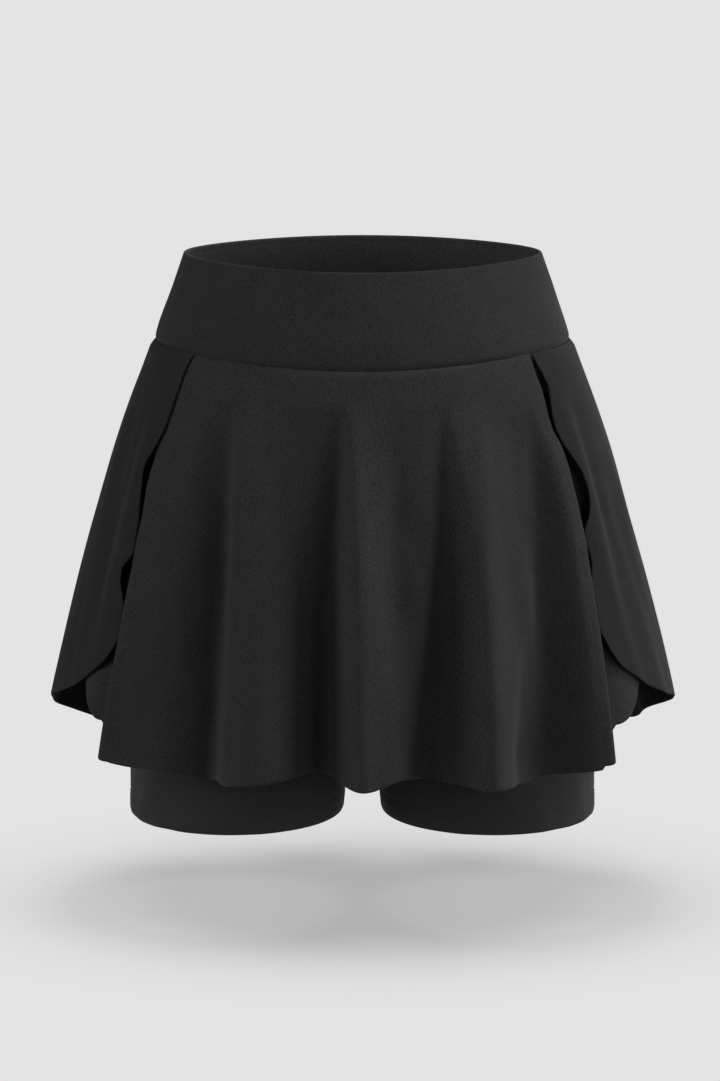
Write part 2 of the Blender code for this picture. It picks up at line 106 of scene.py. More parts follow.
# x = half width * sin(angle), y = -depth * cos(angle) * (1 - pinch * sin(angle)^2),
# then the point moves out along the ring's normal.
def ringPoint(rings, drop, angle, out):
    turn = np.radians(angle)
    s, c = np.sin(turn), np.cos(turn)
    width = readTable(rings, 1, drop)
    depth = np.where(c > 0, readTable(rings, 2, drop), readTable(rings, 3, drop))
    pinch = readTable(rings, 4, drop)
    alongX = width * c
    alongY = depth * s * (1 - pinch * s ** 2 + 2 * pinch * c ** 2)
    length = np.hypot(alongX, alongY)
    x = width * s + out * alongY / length
    y = -depth * c * (1 - pinch * s ** 2) - out * alongX / length
    return np.stack([x, y, garment["topHeight"] - drop + 0 * x], axis=-1)


# Metres along the ring for one degree of angle.
def metresPerDegree(rings, drop, angle):
    ends = [ringPoint(rings, drop, angle + half, 0.0) for half in (-0.5, 0.5)]
    return np.linalg.norm(ends[1] - ends[0], axis=-1)


# The waist seam hangs lower at the centre front and back: side drop + dip * cos(angle)^4.
def seamDrop(angle):
    c = np.cos(np.radians(angle))
    dip = np.where(c > 0, garment["seamDipFront"], garment["seamDipBack"])
    return garment["seamDrop"] + dip * c ** 4


# Slow unevenness of hanging cloth, about -1 to 1: a sum of long sine waves across the cloth, each
# leaning a little, with seeded lengths and phases.
def slowWaves(u, v, shortest, lean, seed, count=10):
    chance = np.random.RandomState(seed)
    total = 0.0 * (u + v)
    for _ in range(count):
        length = shortest * chance.uniform(1.0, 3.2)
        tilt = chance.uniform(-lean, lean)
        phase = chance.uniform(0.0, 2 * np.pi)
        total = total + length * np.sin(2 * np.pi * (u * np.cos(tilt) + v * np.sin(tilt)) / length + phase)
    return total / (2.1 * shortest * count ** 0.5)


# Unevenness of a hanging panel, from nothing at its start to all of it further down.
def hangingRipple(look, drop, angle):
    along = np.radians(angle) * look["patternRadius"]
    waves = slowWaves(along, drop, look["rippleLength"], look["rippleLean"], look["rippleSeed"])
    return look["ripple"] * waves * np.clip((drop - look["rippleStart"]) / look["rippleGrow"], 0, 1)


# Height of the cloth between fold lines. Each line has its own angle and height at every drop of
# the table; between two lines the height is a cubic that never overshoots them.
def foldHeight(folds, drop, angle):
    read = [[readTable(list(zip(folds["drops"], values)), 1, drop) for values in line]
            for line in folds["lines"]]
    lineAngle, lineHeight = (np.stack([line[k] for line in read]) for k in (0, 1))
    lineHeight = lineHeight * 0.001
    step = np.diff(lineAngle, axis=0)
    rise = np.diff(lineHeight, axis=0) / step
    steady = rise[:-1] * rise[1:] > 0
    first, second = np.where(steady, rise[:-1], 1.0), np.where(steady, rise[1:], 1.0)
    ahead, behind = 2 * step[1:] + step[:-1], step[1:] + 2 * step[:-1]
    slope = np.where(steady, (ahead + behind) / (ahead / first + behind / second), 0.0)
    slope = np.concatenate([0 * slope[:1], slope, 0 * slope[:1]])
    i = np.clip((angle[None] >= lineAngle).sum(axis=0) - 1, 0, len(lineAngle) - 2)[None]

    def pick(values, shift=0):
        return np.take_along_axis(values, i + shift, axis=0)[0]

    span = pick(step)
    t = np.clip((angle - pick(lineAngle)) / span, 0.0, 1.0)
    begin = (1 + 2 * t) * (1 - t) ** 2 * pick(lineHeight) + t * (1 - t) ** 2 * span * pick(slope)
    end = t ** 2 * (3 - 2 * t) * pick(lineHeight, 1) - t ** 2 * (1 - t) * span * pick(slope, 1)
    return begin + end


# Each value becomes a quarter of each neighbour and half of itself, over and over, along one axis.
def soften(values, times, axis):
    count = values.shape[axis]
    for _ in range(times):
        padded = np.concatenate([values.take([0], axis), values, values.take([-1], axis)], axis)
        values = (padded.take(range(count), axis) + 2 * values
                  + padded.take(range(2, count + 2), axis)) / 4
    return values


# Unit normals of a grid of points; rows from ringFrom on close round on themselves.
def gridNormals(points, ringFrom):
    across = np.gradient(points, axis=1)
    ring = points[ringFrom:, :-1]
    around = np.roll(ring, -1, axis=1) - np.roll(ring, 1, axis=1)
    across[ringFrom:] = np.concatenate([around, around[:, :1]], axis=1)
    normal = np.cross(np.gradient(points, axis=0), across)
    return normal / np.linalg.norm(normal, axis=2, keepdims=True)


# A flared panel cut flat: each column is a straight line from the point where the flare starts,
# and a row lies on an arc round that point, whose radius grows with the length down the cloth.
def flatPattern(points):
    acrossTop = np.linalg.norm(np.diff(points[0], axis=0), axis=1)
    acrossHem = np.linalg.norm(np.diff(points[-1], axis=0), axis=1)
    down = np.linalg.norm(np.diff(points, axis=0), axis=2)
    length = np.concatenate([0 * down[:1], np.cumsum(down, axis=0)])
    grown = max(acrossHem.sum() / acrossTop.sum() - 1.0, 0.02)
    radius = np.median(length[-1]) / grown
    turn = np.concatenate([[0.0], np.cumsum(acrossTop)]) / radius
    turn = turn - turn[-1] / 2
    return np.stack([(radius + length) * np.sin(turn), radius - (radius + length) * np.cos(turn)], axis=2)


# One mesh from grids of points: each is rows * columns, and its faces look along
# (next row) x (next column). Points that coincide are merged, so the grids close on each other.
# The faces of the inner grid get the second material.
def meshFromGrids(name, grids, innerGrid=None):
    verts, uvs, quads, made = [], [], [], 0
    for points, pattern in grids:
        rows, columns = points.shape[:2]
        index = made + np.arange(rows * columns).reshape(rows, columns)
        made += rows * columns
        verts.append(points.reshape(-1, 3))
        uvs.append(pattern.reshape(-1, 2))
        corners = [index[:-1, :-1], index[1:, :-1], index[1:, 1:], index[:-1, 1:]]
        quads.append(np.stack(corners, axis=-1).reshape(-1, 4))
    mesh = bpy.data.meshes.new(name)
    mesh.from_pydata(np.concatenate(verts), [], np.concatenate(quads))
    if innerGrid is not None:
        second = np.repeat(np.arange(len(quads)) == innerGrid, [len(grid) for grid in quads])
        mesh.polygons.foreach_set("material_index", second.astype(np.int32))
    corner = np.zeros(len(mesh.loops), dtype=np.int32)
    mesh.loops.foreach_get("vertex_index", corner)
    layer = mesh.uv_layers.new(name="pattern")
    layer.data.foreach_set("uv", np.concatenate(uvs)[corner].astype(np.float32).ravel())
    merged = bmesh.new()
    merged.from_mesh(mesh)
    bmesh.ops.remove_doubles(merged, verts=merged.verts, dist=1e-6)
    merged.to_mesh(mesh)
    merged.free()
    mesh.shade_smooth()
    piece = bpy.data.objects.new(name, mesh)
    scene.collection.objects.link(piece)
    return piece


# Cloth wall: an outer grid, an inner grid behind it, and a rounded lip along every free edge.
# A lip's points are the wall's middle + half its thickness, away from the cloth.
def clothWall(name, outer, thickness, pattern, ringFrom, inner=None):
    if inner is None:
        inner = outer - thickness * gridNormals(outer, ringFrom)
    rows = len(outer)
    openRows = min(ringFrom + 1, rows)
    middle = (outer + inner) / 2
    half = np.linalg.norm(outer - inner, axis=2, keepdims=True) / 2

    def lip(here, beside):
        away = middle[here] - middle[beside]
        return middle[here] + half[here] * away / np.linalg.norm(away, axis=-1, keepdims=True)

    def side(*lines, axis):
        return np.stack(lines, axis=axis)

    top, bottom = lip(0, 1), lip(-1, -2)
    left = lip((slice(0, openRows), 0), (slice(0, openRows), 1))
    right = lip((slice(0, openRows), -1), (slice(0, openRows), -2))
    grids = [(outer, pattern), (inner[:, ::-1], pattern[:, ::-1])]
    if ringFrom > 0:
        top[0], top[-1] = left[0], right[0]
        if ringFrom < rows:
            left[-1] = right[-1] = middle[ringFrom, 0]
        else:
            bottom[0], bottom[-1] = left[-1], right[-1]
        start, stop = pattern[:openRows, 0], pattern[:openRows, -1]
        grids.append((side(inner[:openRows, 0], left, outer[:openRows, 0], axis=1),
                      side(start, start, start, axis=1)))
        grids.append((side(outer[:openRows, -1], right, inner[:openRows, -1], axis=1),
                      side(stop, stop, stop, axis=1)))
    else:
        top[-1] = top[0]
    if ringFrom < rows:
        bottom[-1] = bottom[0]
    grids.append((side(inner[0], top, outer[0], axis=0), side(*[pattern[0]] * 3, axis=0)))
    grids.append((side(outer[-1], bottom, inner[-1], axis=0), side(*[pattern[-1]] * 3, axis=0)))
    # the inner grid takes the piece's second material, the paler inside knit that paints light onto the inner
    # side
    return meshFromGrids(name, grids, 1)


# Thread on the cloth: one small arched capsule for each stitch. Its points are
# centre + along * length * cos(p) / 2 + (across * cos(q) + up * sin(q)) * radius * sin(p)^blunt.
def stitchRow(name, path, up, look):
    along = np.diff(path, axis=0)
    gap = np.linalg.norm(along, axis=1)
    place = np.concatenate([[0.0], np.cumsum(gap)])
    count = max(int(place[-1] / look["pitch"]), 1)
    middle = (np.arange(count) + 0.5) * place[-1] / count

    def at(values, where):
        return np.stack([np.interp(where, place, values[:, k]) for k in range(3)], axis=1)

    reach = place[-1] / count * look["filled"] / 2
    along = at(path, middle + reach) - at(path, middle - reach)
    length = np.linalg.norm(along, axis=1, keepdims=True)
    along = along / length
    up = at(up, middle)
    up = up - along * (up * along).sum(axis=1, keepdims=True)
    up = up / np.linalg.norm(up, axis=1, keepdims=True)
    across = np.cross(along, up)
    p = np.linspace(0.0, np.pi, look["rings"])[:, None]
    q = np.linspace(0.0, 2 * np.pi, look["sides"] + 1)[None, :]
    size = np.sin(p) ** look["blunt"]
    body = (0.5 * np.cos(p) + 0 * q, size * np.cos(q), size * np.sin(q))
    lift = look["lift"] * np.sin(p) + 0 * q
    centre = at(path, middle)
    points = (centre[:, None, None]
              + along[:, None, None] * length[:, None, None] * body[0][None, ..., None]
              + across[:, None, None] * look["radius"] * body[1][None, ..., None]
              + up[:, None, None] * (look["radius"] * body[2] + lift)[None, ..., None])
    return meshFromGrids(name, [(stitch, stitch[..., :2]) for stitch in points])


# Nodes for one knit. Grain, streaks and mottling are noise on the flat pattern, in millimetres;
# the loops are |cos(pi * u / wale)| * (1 - depth / 2 + depth / 2 * sin(2 pi * v / course + lean)).
def knitMaterial(name, look):
    material = bpy.data.materials.new(name)
    material.use_nodes = True
    nodes, links = material.node_tree.nodes, material.node_tree.links
    shader = nodes["Principled BSDF"]

    def node(kind, inputs=(), **settings):
        made = nodes.new("ShaderNode" + kind)
        for key, value in settings.items():
            setattr(made, key, value)
        for socket, value in inputs:
            if hasattr(value, "links"):
                links.new(value, made.inputs[socket])
            else:
                made.inputs[socket].default_value = value
        return made.outputs[0]

    def math_(operation, first, second=0.0, third=0.0):
        return node("Math", ((0, first), (1, second), (2, third)), operation=operation)

    def noise(scale, stretch, detail):
        placed = node("Mapping", (("Vector", pattern), ("Scale", (scale, scale / stretch, 1.0)),
                                  ("Rotation", (0.0, 0.0, look["grainLean"]))))
        return node("TexNoise", (("Vector", placed), ("Scale", 1.0), ("Detail", detail),
                                 ("Roughness", look["noiseRoughness"])), noise_dimensions="2D")

    pattern = node("UVMap", uv_map="pattern")
    grain = noise(1.0 / look["grainSize"], look["grainStretch"], 2.0)
    streaks = noise(1.0 / look["streakWidth"], look["streakLength"] / look["streakWidth"], 1.0)
    mottle = noise(1.0 / look["mottleSize"], look["mottleStretch"], 3.0)
    shade = math_("MULTIPLY_ADD", grain, look["grainShare"], look["streakShare"] * -0.5)
    shade = math_("MULTIPLY_ADD", streaks, look["streakShare"], shade)
    blotch = math_("MULTIPLY_ADD", mottle, look["mottleShare"], look["mottleShare"] * -0.5)
    shade = math_("ADD", shade, blotch)
    shade = math_("ADD", shade, 0.5 - look["grainShare"] * 0.5)
    colour = node("ValToRGB", (("Fac", shade),))
    ramp = nodes[-1].color_ramp
    ramp.elements[0].position, ramp.elements[0].color = 0.0, (*look["dark"], 1.0)
    ramp.elements[1].position, ramp.elements[1].color = 1.0, (*look["light"], 1.0)
    links.new(colour, shader.inputs["Base Color"])

    split = nodes.new("ShaderNodeSeparateXYZ")
    links.new(pattern, split.inputs[0])
    wale = math_("ABSOLUTE", math_("COSINE", math_("MULTIPLY", split.outputs[0], np.pi / look["wale"])))
    rise = math_("MULTIPLY", split.outputs[1], 2 * np.pi / look["course"])
    lean = math_("MULTIPLY_ADD", wale, look["loopLean"], rise)
    depth = look["courseDepth"] / 2
    course = math_("MULTIPLY_ADD", math_("SINE", lean), depth, 1 - depth)
    loops = math_("MULTIPLY", wale, course)
    height = math_("MULTIPLY_ADD", loops, 1.0, math_("MULTIPLY", grain, look["fuzz"]))
    bump = node("Bump", (("Height", height), ("Strength", look["bumpStrength"]),
                         ("Distance", look["bumpDepth"])))
    links.new(bump, shader.inputs["Normal"])
    for socket, key in (("Roughness", "roughness"), ("Specular IOR Level", "specular"),
                        ("Sheen Weight", "sheen"), ("Sheen Roughness", "sheenRoughness")):
        shader.inputs[socket].default_value = look[key]
    shader.inputs["Sheen Tint"].default_value = (*look["sheenTint"], 1.0)
    return material


skirtKnit = {
    "dark": (0.012, 0.012, 0.012), "light": (0.050, 0.050, 0.051),
    "grainSize": 0.0012, "grainStretch": 1.5, "grainShare": 1.15, "grainLean": 0.35,
    "streakWidth": 0.0009, "streakLength": 0.0045, "streakShare": 0.50,
    "mottleSize": 0.018, "mottleStretch": 1.6, "mottleShare": 0.22, "noiseRoughness": 0.6,
    "wale": 0.0009, "course": 0.0008, "courseDepth": 0.55, "loopLean": 2.4, "fuzz": 0.8,
    "bumpStrength": 0.45, "bumpDepth": 0.00012,
    "roughness": 0.88, "specular": 0.16, "sheen": 0.06, "sheenRoughness": 0.4,
    "sheenTint": (0.85, 0.85, 0.87),
}
bandKnit = {**skirtKnit, "dark": (0.0105, 0.0105, 0.0105), "light": (0.0435, 0.0435, 0.0445),
            "mottleShare": 0.20}
# the skirt knit made darker for the back panel: painted shade that dims its sides under the strong side lamps
backShadedKnit = {**skirtKnit, "dark": (0.0072, 0.0072, 0.0072), "light": (0.0315, 0.0315, 0.0322)}
# a paler copy of the band knit for the inner sides of the cloth: painted light where the lamps reach little
insidePaintedLightKnit = {**bandKnit, "dark": (0.019, 0.019, 0.019), "light": (0.080, 0.080, 0.082)}
shortsKnit = {**skirtKnit, "dark": (0.0100, 0.0100, 0.0100), "light": (0.0385, 0.0385, 0.0392),
              "grainShare": 0.8, "streakShare": 0.3, "wale": 0.0007, "course": 0.0006, "roughness": 0.8,
              "specular": 0.22}
seamThread = {**skirtKnit, "dark": (0.016, 0.016, 0.016), "light": (0.060, 0.060, 0.062), "specular": 0.35,
              "roughness": 0.6, "bumpStrength": 0.2}
materials = {
    "skirt_knit": knitMaterial("skirt_knit", skirtKnit),
    "back_painted_shade_knit": knitMaterial("back_painted_shade_knit", backShadedKnit),
    "inside_painted_light_knit": knitMaterial("inside_painted_light_knit", insidePaintedLightKnit),
    "band_knit": knitMaterial("band_knit", bandKnit),
    "shorts_knit": knitMaterial("shorts_knit", shortsKnit),
    "thread": knitMaterial("seam_thread", seamThread),
}


# Finish a piece: its materials, the body it rides on, the solid it stands for.
def dress(piece, names, slot, *solids):
    for name in names:
        piece.data.materials.append(materials[name])
    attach(piece, "root")
    if solids:
        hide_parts(*solids)
    return piece


waistband = {
    "wall": 0.0024,           # two layers of knit, folded at the top edge
    "roundBottom": 0.0011,    # how far the face turns in at the waist seam
    "turnLength": 0.0018,     # over this length of it
    "backSeamWidth": 0.0009, "backSeamDepth": 0.0005,
    "insideSeamDrop": 0.0042, # the inner layer is joined this far below the top edge
    "insideSeamWidth": 0.0006, "insideSeamDepth": 0.00035,
    "ripple": 0.00035,        # unevenness of the face: height, shortest wave, lean, random seed
    "rippleLength": 0.030, "rippleLean": 1.2, "rippleSeed": 11,
    "middleDrop": 0.03, "patternRadius": 0.14,
    "around": 300, "faceRows": 40, "roundRows": 8,
    "seamColumns": 25, "seamReach": 1.6,      # columns gathered round the back seam, in degrees
    "cut": (0.740, 0.067), "area": 0.0495,
}


# The band's profile goes down the face, round the bottom, up the inside and over the top, and is
# carried round the ring. Rounds are half circles whose radius is half the wall.
def makeWaistband(look):
    seam = np.linspace(-1.0, 1.0, look["seamColumns"]) ** 3 * look["seamReach"]
    angle = np.round(np.linspace(-180.0, 180.0, look["around"] + 1), 6)
    angle = np.union1d(angle, np.round(180.0 - abs(seam), 6))
    angle = np.union1d(angle, np.round(-180.0 + abs(seam), 6))[None, :]
    top = garment["topDip"] * np.maximum(np.cos(np.radians(angle)), 0.0) ** 2
    bottom = seamDrop(angle) - garment["seamGap"] / 2
    radius = look["wall"] / 2
    line = np.linspace(0.0, 1.0, look["faceRows"] + 1)[:, None]
    arc = np.linspace(0.0, np.pi, look["roundRows"] + 1)[1:-1, None]
    down = top + radius + line * (bottom - top - 2 * radius)
    face = (down, 0.0 * down)
    under = (bottom - radius + radius * np.sin(arc), -radius + radius * np.cos(arc) + 0 * bottom)
    inside = (down[::-1], -2 * radius + 0.0 * down)
    over = (top + radius - radius * np.sin(arc), -radius - radius * np.cos(arc) + 0 * top)
    drop, out = (np.concatenate([part[k] for part in (face, under, inside, over)]) for k in (0, 1))
    drop, out = np.concatenate([drop, drop[:1]]), np.concatenate([out, out[:1]])
    faceShare = np.clip(1.0 + out / radius, 0.0, 1.0)         # 1 on the face, 0 on the inside
    out = out - look["roundBottom"] * np.exp(-((bottom - drop) / look["turnLength"]) ** 2) * faceShare
    away = (180.0 - abs(angle)) * metresPerDegree(garment["bodyRings"], look["middleDrop"] + 0 * angle, angle)
    groove = look["backSeamDepth"] * np.exp(-(away / look["backSeamWidth"]) ** 2)
    out = out + groove * (1 - 2 * faceShare)
    near = (drop - top - look["insideSeamDrop"]) / look["insideSeamWidth"]
    out = out + look["insideSeamDepth"] * np.exp(-near ** 2) * (faceShare < 0.01)
    along = np.radians(angle) * look["patternRadius"]
    waves = slowWaves(along + 0 * drop, drop, look["rippleLength"], look["rippleLean"], look["rippleSeed"])
    out = out + look["ripple"] * waves * faceShare
    points = ringPoint(garment["bodyRings"], drop, angle + 0 * drop, out)
    pattern = np.stack([along + 0 * drop, -np.cumsum(np.abs(np.gradient(drop, axis=0)), axis=0)], axis=2)
    return meshFromGrids("waistband_knit", [(points, pattern)])


band = makeWaistband(waistband)
dress(band, ["band_knit", "inside_painted_light_knit"], "band_knit", "waistband")
# the band's inner layer, whose faces look towards the middle, gets the paler inside knit: painted light on
# faces the lamps hardly reach
facing, place = np.zeros(3 * len(band.data.polygons)), np.zeros(3 * len(band.data.polygons))
band.data.polygons.foreach_get("normal", facing)
band.data.polygons.foreach_get("center", place)
paintedLightFaces = (facing.reshape(-1, 3) * place.reshape(-1, 3))[:, :2].sum(axis=1) < 0
band.data.polygons.foreach_set("material_index", paintedLightFaces.astype(np.int32))
print("waistband:", len(band.data.polygons), "faces")


frontPanel = {
    "thickness": 0.0011,
    "lapInset": 0.0018,       # it starts this far inside the back panel's face
    "shoulderTuck": 0.0013, "shoulderLength": 0.0018,   # the top edge rolls in to the waist seam
    "stripAngle": 67.0, "stripDrop": 0.2980, "stripRise": 0.0260,
    "stripSink": 0.0025, "stripSinkLength": 0.0400,     # the strip hangs this far inside the back panel
    "turnFullSink": 0.0120,   # depth of the slit at which the turned edge has its full plan
    # plan of the turned edge, flat side to strip: along the ring, shares of the rise and the sink
    "turnPoints": [
        (-0.0200, 0.15, 0.00), (-0.0110, 0.60, 0.00), (-0.0035, 1.00, 0.00), (0.0010, 0.90, -0.02),
        (0.0010, 0.00, -0.30), (-0.0020, 0.00, -0.70), (-0.0030, 0.00, -1.00), (0.0020, 0.00, -1.05),
        (0.0100, 0.00, -0.80), (0.0200, 0.00, -0.40),
    ],
    # angle, drop of the hem
    "hem": [
        (-56.0, 0.3475), (-48.0, 0.3512), (-41.0, 0.3522), (-36.0, 0.3550), (-31.0, 0.3595),
        (-26.0, 0.3565), (-20.0, 0.3530), (-14.0, 0.3505), (-8.0, 0.3505), (-3.5, 0.3550), (2.0, 0.3557),
        (6.5, 0.3510), (12.0, 0.3560), (19.0, 0.3570), (25.0, 0.3560), (32.0, 0.3620), (39.0, 0.3585),
        (46.0, 0.3552), (53.0, 0.3510),
    ],
    "topEdge": 52.5, "hemEdge": 53.0, "firstEdge": 50.0, "stripMiddle": 60.0,    # angles
    "softAcross": 3, "softDown": 2,
    "ripple": 0.00045, "rippleLength": 0.016, "rippleLean": 0.35, "rippleSeed": 5,
    "rippleStart": 0.085, "rippleGrow": 0.08, "patternRadius": 0.18,
    "flatColumns": 180, "turnColumns": 26, "stripColumns": 12, "rows": 168,
    "cut": (0.590, 0.343), "area": 0.1483,
}

# Lines down the front panel: angles, then heights in millimetres, at the drops above them.
frontFolds = {
    "drops": (0.092, 0.120, 0.150, 0.185, 0.225, 0.285, 0.340),
    "lines": [
        ((-56.0, -56.0, -56.0, -55.8, -55.6, -55.6, -55.7), (0, 0, 0, 0, 0, 0, 0)),
        ((-50.0, -50.0, -50.0, -50.3, -50.4, -50.4, -50.3), (0, -0.5, -0.5, -0.5, -0.5, -1.0, -3.0)),
        ((-44.1, -43.9, -43.7, -43.4, -42.9, -41.7, -40.6), (0, 0, -1.5, -3.5, -5.5, -6.5, -7.0)),
        ((-36.5, -35.4, -34.0, -32.6, -31.7, -30.7, -30.0), (0, -7.0, -13.0, -18.5, -23.0, -26.0, -26.0)),
        ((-29.8, -29.2, -28.3, -27.2, -26.3, -25.1, -24.4), (0, 4.5, 7.0, 9.0, 9.0, 8.0, 8.0)),
        ((-21.7, -21.5, -21.1, -20.6, -19.9, -18.7, -17.6), (0, 0, 0.5, 2.5, 6.5, 13.5, 17.5)),
        ((-16.0, -15.7, -15.4, -15.1, -14.8, -14.3, -13.7), (0, -3.5, -5.0, -4.0, 0.5, 4.5, 7.0)),
        ((-11.6, -11.5, -11.4, -11.4, -11.4, -11.2, -11.0), (0, -3.0, -5.0, -8.5, -12.0, -13.0, -11.0)),
        ((-5.1, -5.3, -5.7, -6.3, -7.1, -7.6, -7.8), (0, -7.0, -12.5, -17.5, -23.0, -28.0, -30.0)),
        ((-3.2, -2.8, -2.1, -1.4, -0.9, -0.4, 0.0), (0, 6.0, 10.0, 14.0, 16.5, 17.0, 17.0)),
        ((3.9, 3.6, 3.2, 2.9, 2.8, 2.8, 2.7), (0, 0.5, 2.0, 5.0, 8.5, 11.0, 12.0)),
        ((8.4, 8.1, 7.7, 7.4, 7.2, 6.7, 6.1), (0, -3.0, -4.5, -5.5, -4.5, 1.0, 6.0)),
        ((15.2, 14.9, 14.5, 13.9, 12.9, 11.0, 9.2), (0, -2.0, -3.5, -5.5, -7.5, -9.5, -12.5)),
        ((20.2, 20.1, 20.0, 19.4, 18.0, 15.0, 11.8), (0, -4.0, -8.0, -13.5, -20.0, -28.0, -29.5)),
        ((22.5, 22.5, 22.5, 22.2, 21.4, 19.5, 17.6), (0, 3.5, 5.5, 5.5, 2.5, -3.0, -8.5)),
        ((28.7, 28.1, 27.1, 25.9, 24.7, 23.4, 22.6), (0, 4.0, 7.5, 10.5, 15.5, 21.0, 23.0)),
        ((34.4, 33.8, 32.9, 31.9, 31.0, 28.9, 26.5), (0, 0, -0.5, -1.0, -0.5, 5.5, 10.5)),
        ((40.2, 39.9, 39.4, 38.6, 37.3, 33.9, 30.9), (0, -5.0, -8.5, -9.5, -7.5, -14.0, -21.5)),
        ((45.4, 44.7, 43.6, 42.4, 41.1, 39.2, 36.8), (0, -4.5, -8.5, -12.0, -16.5, -22.0, -28.5)),
        ((50.2, 50.3, 50.5, 50.6, 50.5, 49.6, 48.5), (0, 2.0, 3.5, 4.0, 2.5, 0, -4.0)),
        ((53.2, 53.3, 53.6, 53.7, 53.7, 53.5, 53.2), (0, 0, 0, 0, 0, 0, 0)),
    ],
}

# Slits, for the +X side and then the -X side in each pair: drop, angles of the front panel's turned
# edge, angles of the back panel's edge, rise of the turned edge and sink behind it in millimetres.
slits = [
    (0.0625, 52.6, 56.0, 52.9, 52.6, 0.0, 0.0, 0.0, 0.0),
    (0.0700, 52.9, 56.0, 53.7, 53.7, 0.2, -0.3, 2.0, 0.5),
    (0.0780, 53.1, 56.4, 55.0, 54.4, 0.3, -0.5, 4.0, 0.8),
    (0.0860, 53.4, 56.8, 55.9, 54.6, 0.5, -0.5, 6.5, 0.8),
    (0.0960, 53.3, 57.2, 54.8, 54.9, 0.6, -0.5, 8.0, 0.8),
    (0.1060, 53.0, 57.5, 53.9, 55.2, 0.8, -0.5, 8.0, 1.0),
    (0.1160, 53.2, 57.7, 53.9, 55.7, 1.0, -0.4, 8.0, 1.2),
    (0.1260, 54.3, 57.8, 55.0, 56.8, 1.5, -0.2, 11.0, 1.6),
    (0.1330, 54.6, 57.8, 56.5, 57.9, 1.8, 0.0, 13.0, 1.9),
    (0.1360, 54.7, 57.7, 57.1, 58.4, 2.0, 0.5, 14.0, 2.6),
    (0.1410, 54.8, 57.6, 58.1, 59.0, 2.3, 1.3, 16.0, 5.0),
    (0.1460, 54.8, 57.4, 59.0, 59.0, 2.5, 2.0, 17.0, 8.0),
    (0.1560, 54.8, 57.1, 59.8, 58.2, 2.5, 2.8, 18.0, 10.0),
    (0.1660, 54.8, 56.6, 59.6, 57.6, 3.0, 3.2, 18.0, 9.0),
    (0.1760, 54.7, 56.1, 58.2, 56.8, 3.0, 3.8, 16.0, 8.0),
    (0.1860, 54.6, 56.0, 55.8, 56.1, 3.5, 4.6, 13.0, 8.0),
    (0.1940, 54.4, 55.8, 55.2, 55.8, 4.2, 5.0, 12.0, 9.0),
    (0.2040, 54.1, 55.6, 55.8, 56.0, 4.2, 4.6, 12.0, 11.0),
    (0.2100, 54.0, 55.5, 55.8, 58.2, 4.2, 4.2, 12.0, 13.0),
    (0.2140, 53.9, 55.4, 55.4, 58.7, 4.4, 4.2, 12.0, 14.0),
    (0.2240, 53.7, 55.4, 54.2, 58.3, 4.9, 4.4, 11.0, 13.0),
    (0.2320, 53.5, 55.4, 53.6, 56.8, 5.3, 5.0, 9.0, 9.0),
    (0.2420, 53.4, 55.3, 53.4, 55.5, 5.6, 5.6, 8.0, 8.0),
    (0.2650, 53.1, 55.0, 53.1, 55.0, 5.8, 6.0, 7.0, 7.0),
    (0.3000, 52.5, 55.0, 52.5, 55.0, 5.8, 6.0, 6.0, 6.0),
    (0.3850, 51.6, 55.3, 51.6, 55.3, 5.5, 5.5, 6.0, 6.0),
]
slitLeastGap, lappedSink = 0.0010, 0.0020    # where the sink is less the panels lap flat


# A column of the slits table, straight between its rows.
def slitAt(column, side, drop):
    rows = np.array(slits)
    return np.interp(drop, rows[:, 0], rows[:, column + (side < 0)])


# The turned edge in plan is a uniform cubic B-spline led by its points. Where the slit is shallow
# it spreads out evenly into a slight step.
def turnedEdge(points, share, full, rise, sink):
    points = np.array(points)
    spans = len(points) - 3
    at = np.clip(share, 0.0, 1.0) * spans
    i = np.clip(at.astype(int), 0, spans - 1)
    t = (at - i)[..., None]
    curve = ((1 - t) ** 3 * points[i] + (3 * t ** 3 - 6 * t ** 2 + 4) * points[i + 1]
             + (1 + 3 * t + 3 * t ** 2 - 3 * t ** 3) * points[i + 2] + t ** 3 * points[i + 3]) / 6
    first, last = ((points[k] + 4 * points[k + 1] + points[k + 2])[0] / 6 for k in (0, -3))
    even = first + share * (last - first)
    return even + full * (curve[..., 0] - even), rise * curve[..., 1] + sink * curve[..., 2]


